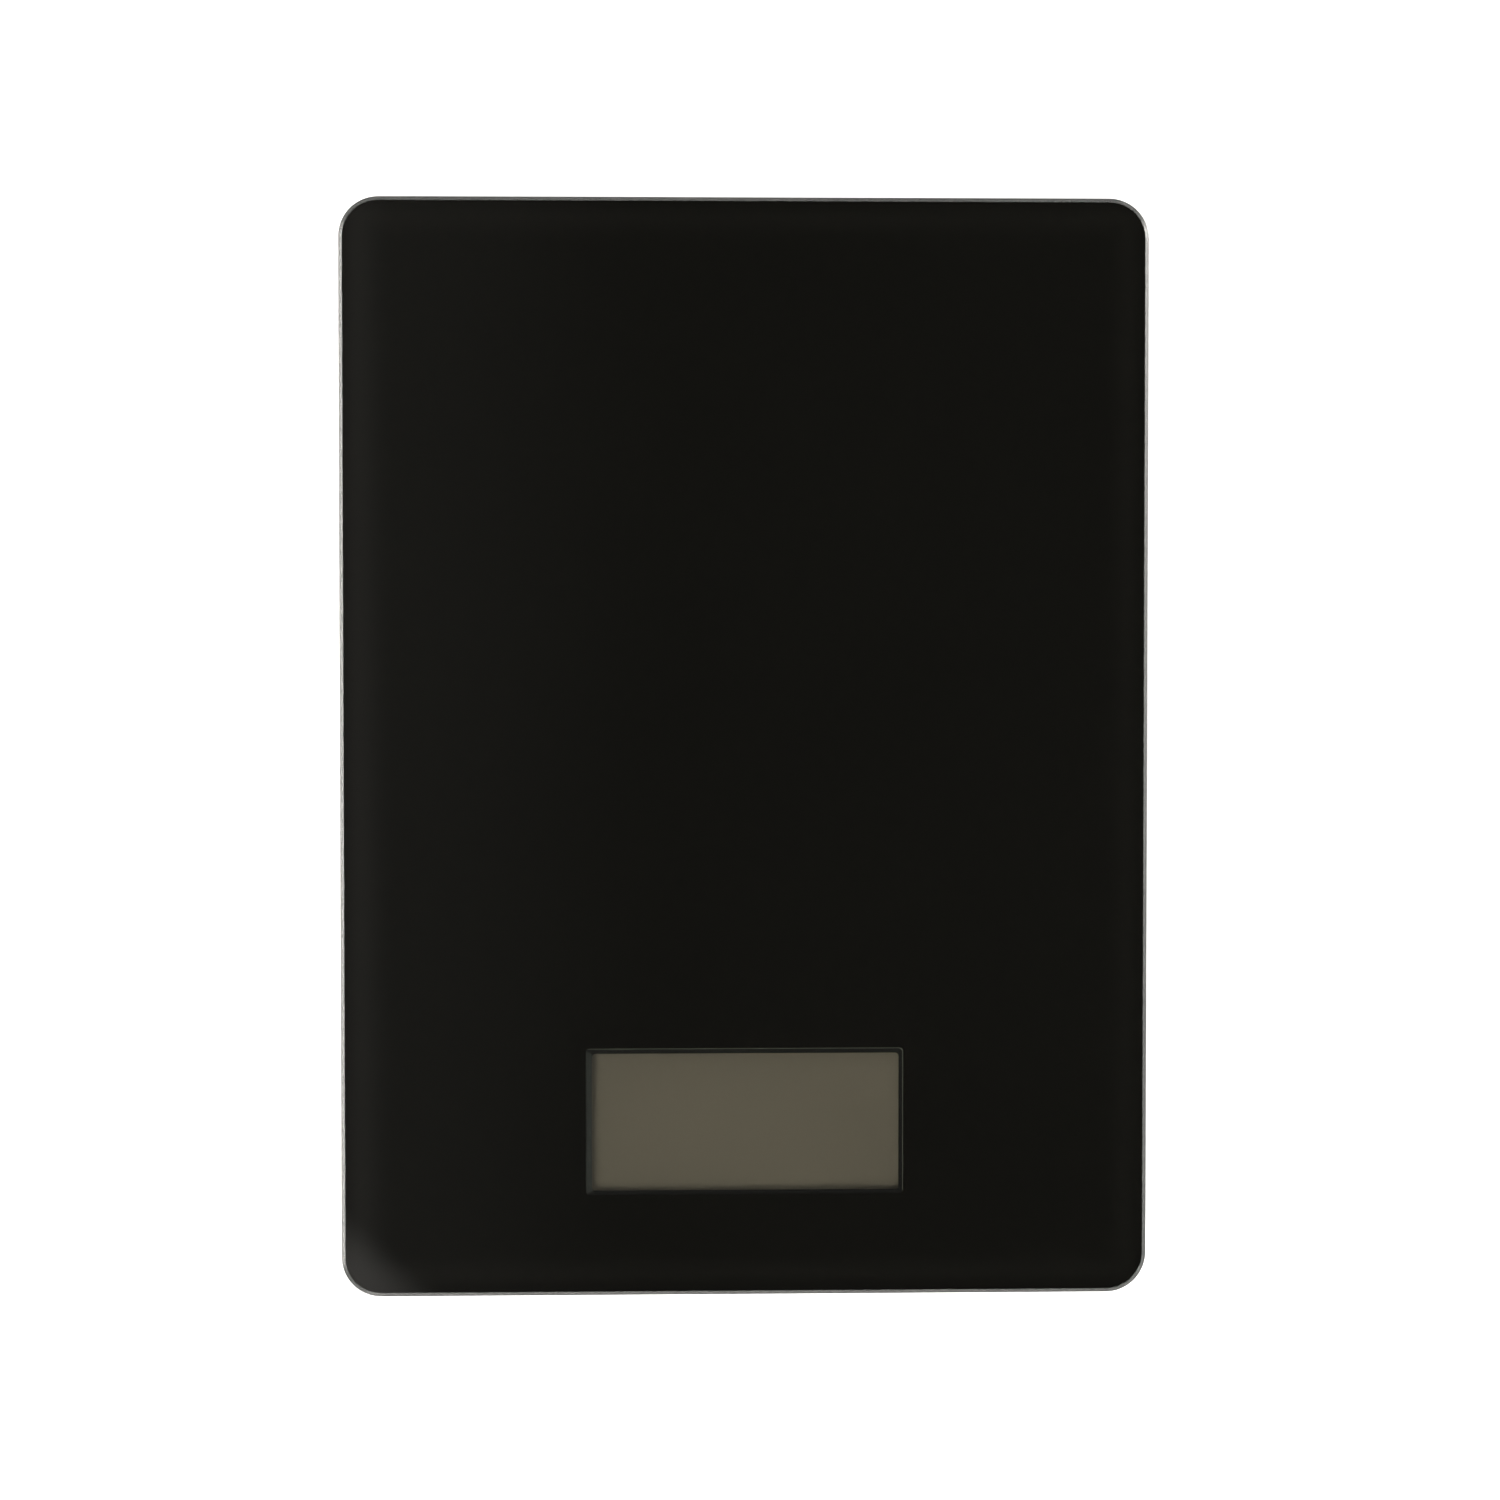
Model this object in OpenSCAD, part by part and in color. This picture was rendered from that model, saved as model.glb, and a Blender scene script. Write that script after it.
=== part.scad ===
// Slim glass kitchen scale. A black-backed tempered glass platform is taped to a shallow
// plastic tray, and the tray stands on four feet that each press on a strain-gauge load cell.
// The origin is the centre of the footprint on the surface it stands on.
// +Z is up and -Y is the end with the display. All sizes are in millimetres.

/* [Platform] */
// Width of the glass platform, side to side
platform_w = 162; // [160:1:180]
// Length of the glass platform, front to back
platform_l = 220; // [218:1:240]
// Thickness of the glass
glass_t = 4; // [3:0.5:5]
// Radius of the four corners
corner_r = 8; // [7:0.5:12]
// Width of the polished bevel round the top of the glass
bevel_w = 0.8; // [0.4:0.1:1.2]

/* [Display window] */
// Width of the clear window in the black backing
window_w = 64; // [56:1:64]
// Length of the window, front to back
window_l = 29.5; // [24:0.5:29.5]
// Distance from the front edge of the glass to the window
window_margin = 20; // [20:0.5:22]

/* [Housing] */
// Overall height, from the table to the top of the glass
total_h = 17; // [17:0.5:20]
// Gap between the table and the underside of the tray
ground_gap = 2.6; // [2.3:0.1:2.9]
// How far the glass overhangs the tray all round
overhang = 3; // [2:0.5:4]
// How far the tray's side tucks in from its rim to its underside
side_tuck = 4; // [2:0.5:4]
// Thickness of the tray's side wall
wall_t = 2; // [1.6:0.1:2.2]
// Thickness of the tray's floor
floor_t = 1.8; // [1.6:0.1:2]

/* [Feet and load cells] */
// Distance of each foot's axis from the middle, side to side
foot_x = 59; // [54:0.5:59]
// Distance of each foot's axis from the middle, front to back
foot_y = 87; // [80:0.5:88]
// Diameter of the rubber pad under each foot
pad_d = 20; // [16:0.5:20]
// Side of the square load cell plate
cell_w = 28; // [28:0.5:30]
// Thickness of the load cell plate
cell_t = 1.6; // [1.2:0.1:2]

/* [Battery] */
// Diameter of the coin cell
coin_d = 20; // [20:0.1:20]
// Thickness of the coin cell
coin_t = 3.2; // [3.2:0.1:3.2]
// Middle of the battery compartment, along Y
battery_y = 20; // [10:1:30]

/* [Hidden] */
$fn = 64;
// Overshoot of a cut past the face it opens
cut = 0.1;

// Heights of the stack, from the glass down
enamel_t = 0.2;
tape_t = 0.6;
z_glass = total_h - glass_t;
z_enamel = z_glass - enamel_t;
z_rim = z_enamel - tape_t;
z_floor = ground_gap + floor_t;

// Tray
housing_w = platform_w - 2 * overhang;
housing_l = platform_l - 2 * overhang;
rim_land = 3;
rim_band = 1.2;
side_steps = 9;
rib_t = 1;
rib_h = 2;
rib_span = housing_w - 8;
z_rib = z_floor + rib_h;

// Feet, with Z from the table up
pad_t = 1.8;
pad_proud = 1;
cup_r = 12.2;
cup_h = 2.6;
foot_hole_r = cup_r + 0.4;
collar_t = 1.2;
stem_r = 4;
z_cup = pad_proud;
z_cup_top = z_cup + cup_h;
z_cell = z_floor + 3;
z_cell_top = z_cell + cell_t;
foot_screw_d = 2.9;
cell_post = cell_w / 2 - 2.7;
cell_screw_d = 2.2;
cell_slot = cell_w - 10;
tongue_w = 11;
gauge_x = -6;

// Circuit board and display stack, hung from the underside of the glass
pcb_t = 1.2;
z_pcb_top = z_enamel - 4.4;
z_pcb = z_pcb_top - pcb_t;
pcb_main_w = 84;
pcb_wing_w = 106;
pcb_front = -platform_l / 2 + 8;
pcb_back = pcb_front + 56;
pcb_wing_l = 20;
pcb_screw_d = 2.2;
pcb_posts = [[-48, pcb_back - 4], [48, pcb_back - 4], [-30, pcb_front + 2.8], [30, pcb_front + 2.8]];
display_y = -platform_l / 2 + window_margin + window_l / 2;
frame_w = 76;
frame_l = 42;
frame_wall = 2;
z_frame_top = z_enamel - 0.5;
frame_lid_t = 0.8;
z_lid = z_frame_top - frame_lid_t;
lcd_w = 68;
lcd_l = 36;
lcd_ledge = 2;
lcd_glass_t = 1;
film_t = 0.2;
z_front_film = z_lid - 0.1 - film_t;
z_front_lcd = z_front_film - lcd_glass_t;
z_rear_lcd = z_front_lcd - lcd_glass_t;
z_rear_film = z_rear_lcd - film_t;
frame_boss = [frame_w / 2 - 1.9, frame_l / 2 - 1.9];
display_screw_d = 1.6;
spring_x = 47.5;
spring_y = pcb_back - 14.5;
spring_r = 3.5;

// Units button under the tray
button_x = 24;
button_y = pcb_back - 6;
button_r = 3;
flange_r = 4.2;
switch_w = 6;
z_switch = z_pcb - 1.4;
z_plunger = z_switch - 0.4;
z_flange = z_floor + 0.05;
press_travel = 0.3;

// Battery compartment
door_w = 36;
door_l = 28;
door_t = 1.4;
door_gap = 0.2;
hinge_gap = 0.4;
z_door_top = ground_gap + door_t;
z_coin = z_door_top + 0.1;
z_coin_top = z_coin + coin_t;
pocket_r = coin_d / 2 + 0.3;
z_pocket = z_coin_top + 1.1;
block_w = 40;
block_l = 33;
block_top = z_pocket + 1;
tab_x = 11;
tab_w = 6;
tab_reach = 2.2;
tab_t = 1;
z_tab = z_door_top - 0.15;
lip_t = 1.1;
strip_t = 0.3;
strip_w = 4;
terminal_x = block_w / 2 + 3;

// Wires. Each route's points lie where the wire is clipped or bends.
wire_d = 0.8;
wire_sides = 8;
lane = 1;
z_wire = z_rib + wire_d / 2 + 0.05;
z_pad_wire = z_pcb_top + wire_d / 2;
z_cell_wire = z_cell_top + 0.5;
rear_lane_x = 41;
battery_lane_x = 26;

// Foam-topped towers that hold up the middle of the glass
tower_r = 5;
foam_t = 1.6;
towers = [[-33.5, 55], [33.5, 55], [-60, 0], [60, 0], [0, -25], [0, 75]];

// ---------- Shared shapes ----------

// Flat outline with round corners
module round_rect(w, l, r) {
  square([w - 2 * r, l], center = true);
  square([w, l - 2 * r], center = true);
  for (x = [-1, 1], y = [-1, 1])
    translate([x * (w / 2 - r), y * (l / 2 - r)]) circle(r = r);
}

// Plate with round corners, standing on z
module round_plate(w, l, r, z, h) {
  translate([0, 0, z]) linear_extrude(h) round_rect(w, l, r);
}

// Points of a section across a plate, from its edge's [inset, z] points
function across(half, edge) = concat(
  [for (p = edge) [half - p[0], p[1]]],
  [for (i = [len(edge) - 1:-1:0]) [edge[i][0] - half, edge[i][1]]]
);

// Points of half a section, from the axis out
function from_axis(half, edge) = concat(
  [[0, edge[0][1]]],
  [for (p = edge) [half - p[0], p[1]]],
  [[0, edge[len(edge) - 1][1]]]
);

// Plate with round corners whose edge follows [inset, z] points, from the bottom up
module edged_plate(w, l, r, edge) {
  translate([0, l / 2 - r, 0]) rotate([90, 0, 0])
    linear_extrude(l - 2 * r) polygon(across(w / 2, edge));
  translate([r - w / 2, 0, 0]) rotate([90, 0, 90])
    linear_extrude(w - 2 * r) polygon(across(l / 2, edge));
  for (x = [-1, 1], y = [-1, 1])
    translate([x * (w / 2 - r), y * (l / 2 - r), 0])
      rotate_extrude() polygon(from_axis(r, edge));
}

// Block whose section narrows from top to bottom on all four sides
module tapered_block(top, bottom, z, h) {
  intersection() {
    translate([0, top[1], z]) rotate([90, 0, 0]) linear_extrude(2 * top[1])
      polygon([[-bottom[0] / 2, 0], [bottom[0] / 2, 0], [top[0] / 2, h], [-top[0] / 2, h]]);
    translate([-top[0], 0, z]) rotate([90, 0, 90]) linear_extrude(2 * top[0])
      polygon([[-bottom[1] / 2, 0], [bottom[1] / 2, 0], [top[1] / 2, h], [-top[1] / 2, h]]);
  }
}

// Cylinder standing on z
module disc(r, z, h) {
  translate([0, 0, z]) cylinder(r = r, h = h);
}

// Tube standing on z
module tube(r_out, r_in, z, h) {
  difference() {
    disc(r_out, z, h);
    disc(r_in, z - cut, h + 2 * cut);
  }
}

// Box centred in X and Y, standing on z
module block(w, l, z, h) {
  translate([-w / 2, -l / 2, z]) cube([w, l, h]);
}

// Pan-head screw whose head rests on z, with its shank below
module pan_screw(d, head_d, head_h, z, shank) {
  difference() {
    union() {
      disc(head_d / 2, z, head_h * 0.6);
      translate([0, 0, z + head_h * 0.6]) cylinder(r1 = head_d / 2, r2 = head_d / 2 - 0.6, h = head_h * 0.4);
      disc(d / 2, z - shank, shank + cut);
    }
    for (a = [0, 90]) rotate(a) block(head_d * 0.6, head_d * 0.16, z + head_h * 0.5, head_h);
  }
}

module at_foot(side, end) {
  translate([side * foot_x, end * foot_y, 0]) mirror([side < 0 ? 1 : 0, 0, 0]) children();
}

module at_every_foot() {
  for (side = [-1, 1], end = [-1, 1]) at_foot(side, end) children();
}

module at_display() {
  translate([0, display_y, 0]) children();
}

module at_button() {
  translate([button_x, button_y, 0]) children();
}

module at_battery() {
  translate([0, battery_y, 0]) children();
}

// ---------- Wires ----------

function unit(v) = v / norm(v);
function heading(route, i) = unit(route[min(i + 1, len(route) - 1)] - route[max(i - 1, 0)]);
function square_axis(h) = unit(cross(h, abs(h[2]) < 0.9 ? [0, 0, 1] : [0, 1, 0]));
function ring(p, h) = let (a = square_axis(h), b = cross(a, h)) [
  for (k = [0:wire_sides - 1])
    let (t = 360 * k / wire_sides) p + wire_d / 2 * (cos(t) * a + sin(t) * b)
];

// Round wire swept along a route
module wire(route) {
  last = len(route) - 1;
  points = [for (i = [0:last]) each ring(route[i], heading(route, i))];
  skin = [
    for (i = [0:last - 1], k = [0:wire_sides - 1])
      let (a = i * wire_sides, n = (k + 1) % wire_sides)
        each [[a + k, a + wire_sides + k, a + n], [a + n, a + wire_sides + k, a + wire_sides + n]]
  ];
  start_cap = [for (k = [0:wire_sides - 1]) k];
  end_cap = [for (k = [wire_sides - 1:-1:0]) last * wire_sides + k];
  polyhedron(points, concat([start_cap], skin, [end_cap]));
}

// From a rear load cell, in along the tray and forward to the board; k is the wire's lane
function rear_route(side, k) = [
  [side * 50, foot_y + k * lane, z_cell_wire],
  [side * 44.4, foot_y + k * lane, z_cell_wire],
  [side * (rear_lane_x - k * lane + 1), foot_y + k * lane - 0.5, z_wire + 1.4],
  [side * (rear_lane_x - k * lane), foot_y + k * lane - 3, z_wire],
  [side * (rear_lane_x - k * lane), 0, z_wire],
  [side * (rear_lane_x - k * lane), pcb_back + 7, z_wire],
  [side * (rear_lane_x - k * lane), pcb_back + 2, z_pad_wire],
  [side * (rear_lane_x - k * lane), pcb_back - 2, z_pad_wire]
];

// From a front load cell straight in to the edge of the board
function front_route(side, k) = [
  [side * 50, k * lane - foot_y, z_cell_wire],
  [side * 46, k * lane - foot_y, z_cell_wire],
  [side * 43.5, k * lane * 1.2 - foot_y, z_cell_wire + 0.3],
  [side * 41.5, k * lane * 1.4 - foot_y, z_pad_wire],
  [side * 39.5, k * lane * 1.4 - foot_y, z_pad_wire]
];

// From a battery terminal forward to the board
function battery_route(side) = [
  [side * (terminal_x + 0.6), battery_y, z_pocket + 0.5],
  [side * (battery_lane_x - 0.4), battery_y - 1.5, z_pocket],
  [side * battery_lane_x, battery_y - 5, z_wire + 0.5],
  [side * battery_lane_x, battery_y - 12, z_wire],
  [side * battery_lane_x, pcb_back + 7, z_wire],
  [side * battery_lane_x, pcb_back + 2, z_pad_wire],
  [side * battery_lane_x, pcb_back - 2, z_pad_wire]
];

module cell_wires(k) {
  for (side = [-1, 1]) {
    wire(rear_route(side, k));
    wire(front_route(side, k));
  }
}

module cell_wires_red() {
  color("#a32020") cell_wires(-1);
}

module cell_wires_black() {
  color("#181818") cell_wires(0);
}

module cell_wires_white() {
  color("#d8d6cf") cell_wires(1);
}

module battery_wire_red() {
  color("#a32020") wire(battery_route(-1));
}

module battery_wire_black() {
  color("#181818") wire(battery_route(1));
}

// ---------- Platform ----------

// Tempered glass with a polished bevel on top and a fine one underneath
module glass_platform() {
  under_bevel = 0.4;
  edge = [
    [under_bevel, z_glass], [0, z_glass + under_bevel],
    [0, total_h - bevel_w], [bevel_w, total_h]
  ];
  color("#20211f") edged_plate(platform_w, platform_l, corner_r, edge);
}

// Fired black enamel on the back of the glass, left clear over the display
module enamel_backing() {
  inset = 0.4;
  color("#0b0b0a") difference() {
    round_plate(platform_w - 2 * inset, platform_l - 2 * inset, corner_r - inset, z_enamel, enamel_t);
    at_display() round_plate(window_w, window_l, 0.8, z_enamel - cut, enamel_t + 2 * cut);
  }
}

// Double-sided foam tape that holds the glass to the tray's rim
module adhesive_tape() {
  side_gap = 0.4;
  w = housing_w - 2 * side_gap;
  l = housing_l - 2 * side_gap;
  tape_w = rim_land - side_gap;
  color("#2c2c2c") difference() {
    round_plate(w, l, corner_r - side_gap, z_rim, tape_t);
    round_plate(w - 2 * tape_w, l - 2 * tape_w, corner_r - rim_land, z_rim - cut, tape_t + 2 * cut);
  }
}

// Foam discs on the tray's towers
module support_pads() {
  color("#3a3a3a") for (p = towers)
    translate([p[0], p[1], 0]) disc(tower_r, z_enamel - foam_t, foam_t);
}

// ---------- Tray ----------

// The side follows a quarter ellipse from the underside up to the straight band at the rim
function side_inset(z) =
  let (top = z_rim - rim_band, t = max(0, top - z) / (top - ground_gap))
    side_tuck * (1 - sqrt(1 - t * t));

outer_edge = concat(
  [
    for (i = [0:side_steps])
      let (a = 90 * i / side_steps)
        [side_tuck * (1 - sin(a)), ground_gap + (z_rim - rim_band - ground_gap) * (1 - cos(a))]
  ],
  [[0, z_rim]]
);

inner_steps = 4;
inner_edge = concat(
  [
    for (i = [0:inner_steps])
      let (z = z_floor + (z_cell - z_floor) * i / inner_steps)
        [max(rim_land, wall_t + side_inset(z)), z]
  ],
  [[rim_land, z_rim + cut]]
);

module floor_ribs() {
  for (x = [-20, 20])
    translate([x, 14, 0]) block(rib_t, 116, z_floor - cut, rib_h + cut);
  for (y = [-42, 0, 42, 62])
    translate([0, y, 0]) block(rib_span, rib_t, z_floor - cut, rib_h + cut);
}

module support_towers() {
  for (p = towers)
    translate([p[0], p[1], 0]) disc(tower_r, z_floor - cut, z_enamel - foam_t - z_floor + cut);
}

module cell_seats() {
  at_every_foot() {
    disc(foot_hole_r + collar_t, z_floor - cut, rib_h + cut);
    for (x = [-1, 1], y = [-1, 1])
      translate([x * cell_post, y * cell_post, 0]) disc(2.6, z_floor - cut, z_cell - z_floor + cut);
    for (s = [-1, 1])
      translate([s * cell_post, s * cell_post, 0]) disc(1.15, z_cell - cut, cell_t - 0.2 + cut);
  }
}

module pcb_seats() {
  for (p = pcb_posts)
    translate([p[0], p[1], 0]) disc(2.4, z_floor - cut, z_pcb - z_floor + cut);
}

module battery_cuts() {
  recess_l = door_l + door_gap + hinge_gap;
  recess_corner = 1;
  translate([0, (hinge_gap - door_gap) / 2, 0])
    round_plate(door_w + 2 * door_gap, recess_l, recess_corner, ground_gap - cut, door_t + cut);
  disc(pocket_r, z_door_top - cut, z_pocket - z_door_top + cut);
  // Pocket for the clip that touches the side of the coin cell
  translate([-coin_d / 2, 0, 0]) block(2.6, strip_w + 1, z_door_top - cut, z_pocket - z_door_top + cut);
  // Slots that the two contact strips leave by
  for (s = [-1, 1])
    translate([s * (block_w / 2 - 4), 0, 0]) block(14, strip_w + 0.2, z_pocket - strip_t - 0.1, strip_t + 0.1);
  // Room for the hinge tabs above their lip, and for their swing
  for (s = [-1, 1])
    translate([s * tab_x, door_l / 2 - 0.2, 0]) block(tab_w + 0.6, 6, ground_gap + lip_t, 2.3);
  // Thumb dish in front of the latch
  translate([0, -door_l / 2, 0]) disc(6.5, ground_gap - cut, 0.8 + cut);
}

module base_housing() {
  color("#17181a") difference() {
    union() {
      difference() {
        edged_plate(housing_w, housing_l, corner_r, outer_edge);
        edged_plate(housing_w, housing_l, corner_r, inner_edge);
      }
      floor_ribs();
      support_towers();
      cell_seats();
      pcb_seats();
      at_button() disc(5.6, z_floor - cut, 1.2 + cut);
      at_battery() block(block_w, block_l, ground_gap, block_top - ground_gap);
    }
    for (p = towers)
      translate([p[0], p[1], 0]) disc(tower_r - 1.4, z_floor, z_enamel);
    at_every_foot() {
      disc(foot_hole_r, ground_gap - cut, z_cell - ground_gap);
      for (s = [-1, 1])
        translate([s * cell_post, -s * cell_post, 0]) disc(cell_screw_d / 2, z_floor + 0.2, z_cell);
    }
    for (p = pcb_posts)
      translate([p[0], p[1], 0]) disc(pcb_screw_d / 2, z_floor + 0.2, z_pcb);
    at_button() {
      disc(button_r + 0.3, ground_gap - cut, floor_t + 2 * cut);
      disc(flange_r + 0.3, z_floor, z_pcb);
    }
    at_battery() battery_cuts();
  }
}

// Blank sticker on the underside
module rating_label() {
  label_t = 0.1;
  color("#c9cac8") translate([0, -22, 0]) round_plate(60, 26, 1.5, ground_gap - label_t, label_t);
}

// ---------- Feet and load cells ----------

module foot_cup() {
  color("#1d1e20") difference() {
    union() {
      disc(cup_r - 0.5, z_cup, 0.5);
      disc(cup_r, z_cup + 0.5, cup_h - 0.5);
      disc(stem_r, z_cup_top - cut, z_cell - z_cup_top + cut);
      for (a = [45:90:315])
        rotate(a) translate([2, -0.6, z_cup_top - cut]) cube([9, 1.2, 1.6 + cut]);
    }
    disc(pad_d / 2 + 0.2, z_cup - cut, pad_t - pad_proud + cut);
    disc(foot_screw_d / 2, z_cup + 1.6, z_cell);
  }
}

// Rubber pad with a ring groove in its sole
module foot_pad() {
  color("#262626") difference() {
    union() {
      disc(pad_d / 2 - 0.4, 0, 0.4);
      disc(pad_d / 2, 0.4, pad_t - 0.4);
    }
    tube(pad_d * 0.3, pad_d * 0.22, -cut, 0.5 + cut);
  }
}

module foot_screw() {
  color("#b9bcc0") pan_screw(foot_screw_d, 5.6, 1.8, z_cell_top, z_cell_top - z_cup - 1.8);
}

// Square steel plate with a sprung tongue that the foot presses up
module load_cell() {
  tip = 5.5;
  color("#a9adb1") translate([0, 0, z_cell]) linear_extrude(cell_t) difference() {
    union() {
      difference() {
        round_rect(cell_w, cell_w, 2.5);
        round_rect(cell_slot, cell_slot, 1.5);
      }
      translate([-cell_slot / 2 - 1, -tongue_w / 2]) square([cell_slot / 2 + 1 + tip - 2, tongue_w]);
      translate([tip - 4, 0]) round_rect(8, tongue_w, 2);
    }
    circle(d = foot_screw_d + 0.3);
    for (x = [-1, 1], y = [-1, 1])
      translate([x * cell_post, y * cell_post]) circle(d = cell_screw_d + 0.3);
  }
}

module gauge() {
  translate([gauge_x, 0, 0]) block(4.4, 5, z_cell_top, 0.1);
}

module strain_gauges() {
  color("#c98a3a") at_every_foot() gauge();
}

// Silicone over each gauge and the ends of its wires
module gauge_sealant() {
  r = 3;
  color("#dcdcd6") difference() {
    at_every_foot() translate([gauge_x, 0, z_cell_top]) {
      cylinder(r = r, h = 0.6);
      translate([0, 0, 0.6]) cylinder(r1 = r, r2 = r - 0.8, h = 0.4);
    }
    strain_gauges();
  }
}

module cell_screws() {
  color("#b9bcc0") at_every_foot() for (s = [-1, 1])
    translate([s * cell_post, -s * cell_post, 0]) pan_screw(cell_screw_d, 4, 1.4, z_cell_top, z_cell_top - z_floor - 0.6);
}

// ---------- Circuit board ----------

module main_pcb() {
  color("#1f5a33") difference() {
    union() {
      translate([-pcb_main_w / 2, pcb_front, z_pcb]) cube([pcb_main_w, pcb_back - pcb_front, pcb_t]);
      translate([-pcb_wing_w / 2, pcb_back - pcb_wing_l, z_pcb]) cube([pcb_wing_w, pcb_wing_l, pcb_t]);
    }
    for (p = pcb_posts)
      translate([p[0], p[1], 0]) disc(pcb_screw_d / 2 + 0.15, z_pcb - cut, pcb_t + 2 * cut);
    at_display() for (x = [-1, 1], y = [-1, 1])
      translate([x * frame_boss[0], y * frame_boss[1], 0])
        disc(display_screw_d / 2 + 0.1, z_pcb - cut, pcb_t + 2 * cut);
  }
}

// Epoxy blob over the scale's chip
module cob_chip() {
  color("#0e0e0e") translate([-6, pcb_back - 4.5, z_pcb_top]) {
    cylinder(r = 3.4, h = 0.5);
    translate([0, 0, 0.5]) cylinder(r1 = 3.4, r2 = 1.8, h = 0.7);
  }
}

// Chip resistors and capacitors beside it, and the crystal
module smd_parts() {
  color("#8b8578") {
    for (i = [0:4]) translate([2 + 2.6 * i, pcb_back - 3, 0]) block(1.2, 2, z_pcb_top, 0.6);
    for (i = [0:2]) translate([-14 - 2.6 * i, pcb_back - 5, 0]) block(1.4, 2.4, z_pcb_top, 0.8);
    translate([33, pcb_back - 4, 0]) round_plate(8, 3, 1.4, z_pcb_top, 1.6);
  }
}

module pcb_screws() {
  color("#b9bcc0") for (p = pcb_posts)
    translate([p[0], p[1], 0]) pan_screw(pcb_screw_d, 4, 1.4, z_pcb_top, z_pcb_top - z_floor - 0.6);
}

// Springs that carry the touch keys' signal from the glass to the board
module touch_springs() {
  color("#c2c4c6") for (s = [-1, 1])
    translate([s * spring_x, spring_y, 0]) tube(spring_r, spring_r - 0.8, z_pcb_top, z_enamel - z_pcb_top);
}

// ---------- Display ----------

module lcd_front_glass() {
  color("#9a978a") at_display() block(lcd_w, lcd_l, z_front_lcd, lcd_glass_t);
}

module lcd_rear_glass() {
  color("#8f8c80") at_display() block(lcd_w, lcd_l - 2 * lcd_ledge, z_rear_lcd, lcd_glass_t);
}

module lcd_front_polarizer() {
  color("#5b574b") at_display() block(lcd_w - 2, lcd_l - 4, z_front_film, film_t);
}

module lcd_rear_polarizer() {
  color("#8d897c") at_display() block(lcd_w - 2, lcd_l - 2 * lcd_ledge - 1, z_rear_film, film_t);
}

// Rubber connectors between the board and the glass's contact ledges
module zebra_strips() {
  color("#cfcfc8") at_display() for (s = [-1, 1])
    translate([0, s * (lcd_l / 2 - lcd_ledge / 2), 0]) block(60, lcd_ledge - 0.2, z_pcb_top, z_front_lcd - z_pcb_top);
}

// Frame that holds the display on the board, with a sloped mouth under the window
module display_frame() {
  mouth = [62.6, 28.2];
  mouth_top = [window_w + 1.2, window_l + 1.2];
  color("#131313") at_display() difference() {
    round_plate(frame_w, frame_l, 1.5, z_pcb_top, z_frame_top - z_pcb_top);
    difference() {
      block(lcd_w + 0.6, lcd_l + 0.6, z_pcb_top - cut, z_lid - z_pcb_top + cut);
      for (x = [-1, 1], y = [-1, 1])
        translate([x * frame_boss[0], y * frame_boss[1], 0]) disc(1.9, z_pcb_top, z_lid - z_pcb_top);
    }
    block(mouth[0], mouth[1], z_lid - cut, frame_lid_t + 2 * cut);
    tapered_block(mouth_top, mouth, z_lid + 0.1, frame_lid_t - 0.1 + cut);
    for (x = [-1, 1], y = [-1, 1])
      translate([x * frame_boss[0], y * frame_boss[1], 0]) disc(display_screw_d / 2, z_pcb_top - cut, 2.6 + cut);
  }
}

module display_gasket() {
  color("#2b2b2b") at_display() difference() {
    round_plate(frame_w - 1, frame_l - 1, 1.5, z_frame_top, z_enamel - z_frame_top);
    block(window_w + 3, window_l + 3, z_frame_top - cut, 1);
  }
}

// Screws from under the board into the frame's corners
module display_screws() {
  color("#b9bcc0") at_display() for (x = [-1, 1], y = [-1, 1])
    translate([x * frame_boss[0], y * frame_boss[1], 0])
      mirror([0, 0, 1]) pan_screw(display_screw_d, 3, 0.9, -z_pcb, pcb_t + 2.4);
}

// ---------- Units button ----------

module unit_switch_body() {
  color("#2a2a2a") at_button() difference() {
    block(switch_w, switch_w, z_switch, z_pcb - z_switch);
    disc(1.65, z_switch - cut, 0.9 + cut);
  }
}

module unit_switch_plunger() {
  color("#111111") at_button() disc(1.5, z_plunger, 0.7);
}

// Button whose flange rests on the floor of the tray, with a dished face below
module unit_button() {
  z_face = ground_gap + 0.4;
  nib_gap = 0.05;
  color("#3b3c3e") at_button() difference() {
    union() {
      disc(button_r, z_face, z_flange - z_face + cut);
      disc(flange_r, z_flange, 0.6);
      disc(1.2, z_flange, z_plunger - nib_gap - z_flange);
    }
    translate([0, 0, z_face - 11.7]) sphere(r = 12);
  }
}

// ---------- Battery compartment ----------

// Steel can of the coin cell, with its positive face down
module coin_cell_can() {
  bead = 0.4;
  color("#c5c7c9") at_battery() difference() {
    union() {
      translate([0, 0, z_coin]) cylinder(r1 = coin_d / 2 - bead, r2 = coin_d / 2, h = bead);
      disc(coin_d / 2, z_coin + bead, coin_t - 0.2 - bead);
    }
    disc(coin_d / 2 - 1, z_coin_top - 0.6, 1);
  }
}

module coin_cell_gasket() {
  color("#2d2f52") at_battery() tube(coin_d / 2 - 1, coin_d / 2 - 1.3, z_coin_top - 0.6, 0.45);
}

module coin_cell_cap() {
  color("#cfd1d3") at_battery() disc(coin_d / 2 - 1.3, z_coin_top - 0.6, 0.6);
}

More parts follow.
